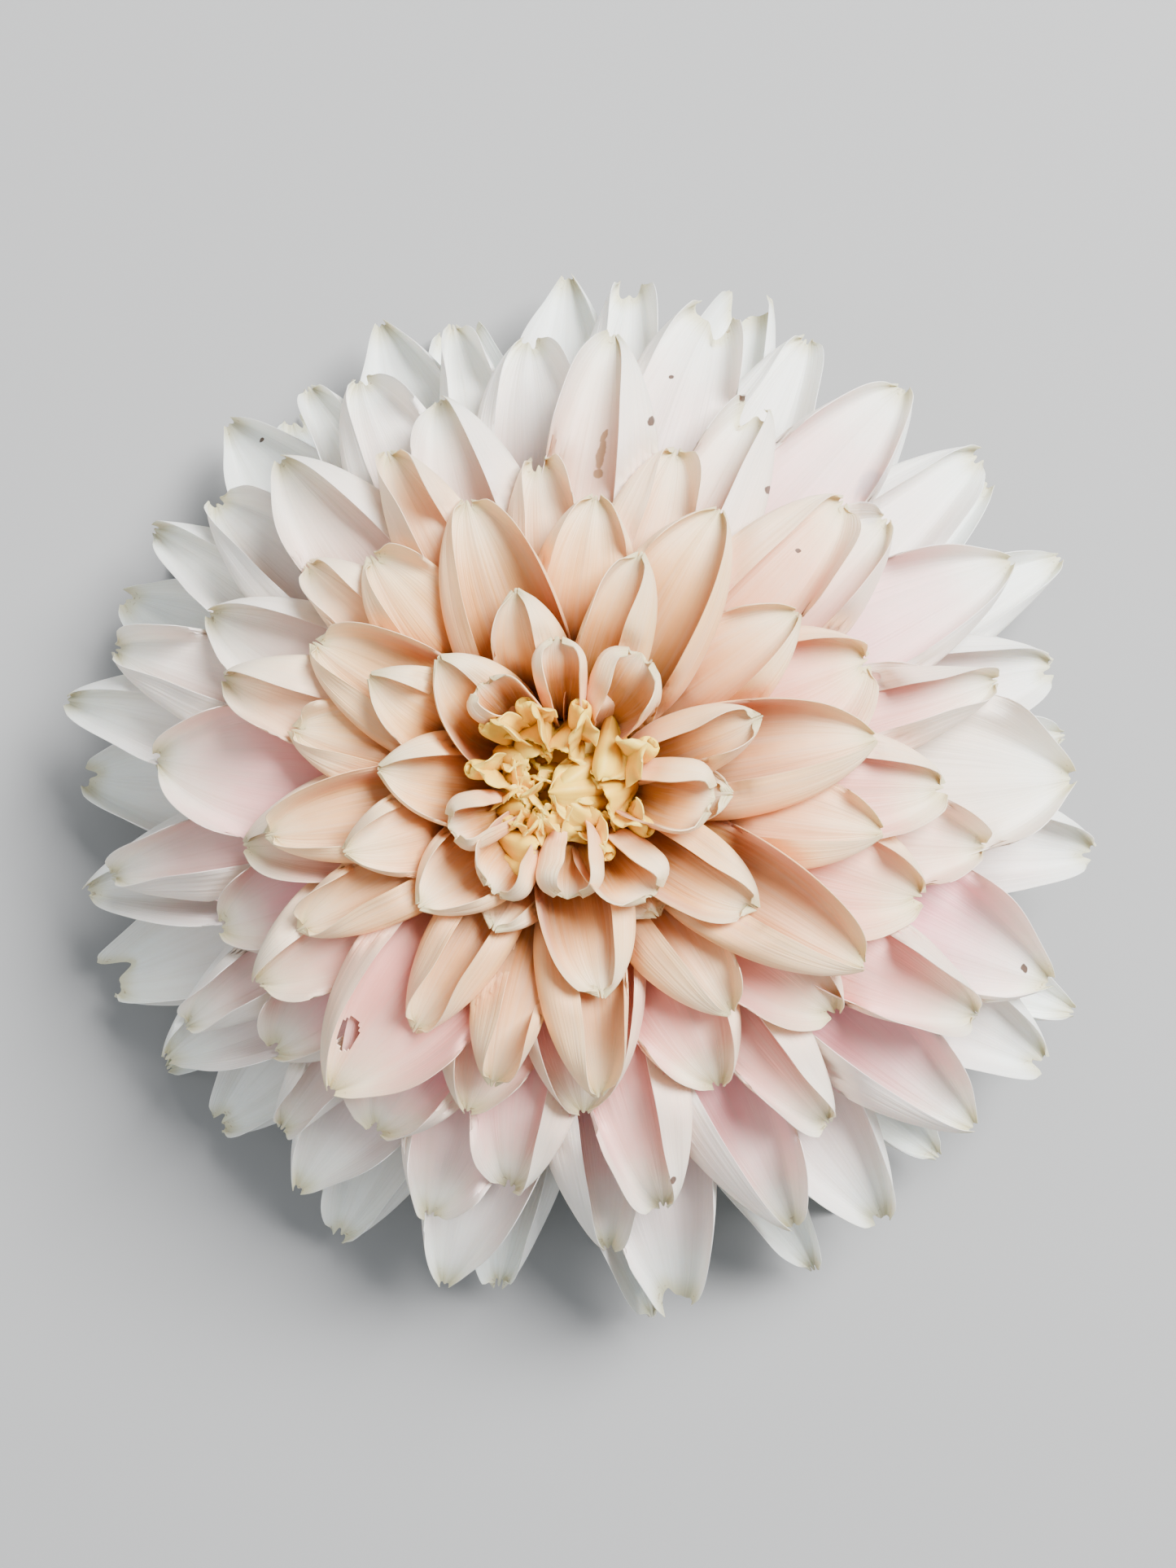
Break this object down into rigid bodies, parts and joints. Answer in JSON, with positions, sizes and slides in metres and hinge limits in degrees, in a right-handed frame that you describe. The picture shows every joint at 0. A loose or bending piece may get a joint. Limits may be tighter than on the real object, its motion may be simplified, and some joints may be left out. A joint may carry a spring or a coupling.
{
  "type": "dahlia flower",
  "caption": "Cut dahlia bloom lying face up on its outer petals, pale cupped petals with pink and peach bases round a tight yellow centre, short stem stub under it.",
  "frame": {"origin": "middle of the base of the bloom's box, on the surface that it lies on", "axes": "+Z up along the bloom's own axis, out of its face; +X to the right and +Y up in the view looking straight down on the face"},
  "size_m": [0.2074, 0.2142, 0.0804],
  "materials": {
    "petal_white": "soft matt petal, near white with a cool green-grey cast",
    "petal_blush": "soft matt petal, white edges and blush pink base",
    "petal_peach": "soft matt petal, pale pink outside and amber peach inside",
    "floret_yellow": "soft matt butter yellow florets",
    "bract_membrane": "thin dry membrane, pale yellow-green",
    "green_tissue": "satin green plant tissue"
  },
  "bodies": {
    "root": {"floret_cluster": "floret_yellow", "inner_bracts": "bract_membrane", "outer_bracts": "green_tissue", "petal_a_01": "petal_white", "petal_a_02": "petal_white", "petal_a_03": "petal_white", "petal_a_04": "petal_white", "petal_a_05": "petal_white", "petal_a_06": "petal_white", "petal_a_07": "petal_white", "petal_a_08": "petal_white", "petal_a_09": "petal_white", "petal_a_10": "petal_white", "petal_a_11": "petal_white", "petal_a_12": "petal_white", "petal_a_13": "petal_white", "petal_a_14": "petal_white", "petal_a_15": "petal_white", "petal_a_16": "petal_white", "petal_b_01": "petal_white", "petal_b_02": "petal_white", "petal_b_03": "petal_white", "petal_b_04": "petal_white", "petal_b_05": "petal_white", "petal_b_06": "petal_white", "petal_b_07": "petal_white", "petal_b_08": "petal_white", "petal_b_09": "petal_white", "petal_b_10": "petal_white", "petal_b_11": "petal_white", "petal_b_12": "petal_white", "petal_b_13": "petal_white", "petal_b_14": "petal_white", "petal_b_15": "petal_white", "petal_b_16": "petal_white", "petal_b_17": "petal_white", "petal_c_01": "petal_white", "petal_c_02": "petal_white", "petal_c_03": "petal_white", "petal_c_04": "petal_white", "petal_c_05": "petal_white", "petal_c_06": "petal_white", "petal_c_07": "petal_white", "petal_c_08": "petal_white", "petal_c_09": "petal_white", "petal_c_10": "petal_white", "petal_c_11": "petal_white", "petal_c_12": "petal_white", "petal_c_13": "petal_white", "petal_c_14": "petal_white", "petal_c_15": "petal_white", "petal_c_16": "petal_white", "receptacle": "green_tissue", "stem_stub": "green_tissue", "whorl_d": "petal_blush", "whorl_e": "petal_blush", "whorl_f": "petal_blush", "whorl_g": "petal_peach", "whorl_h": "petal_peach"}
  },
  "joints": []
}
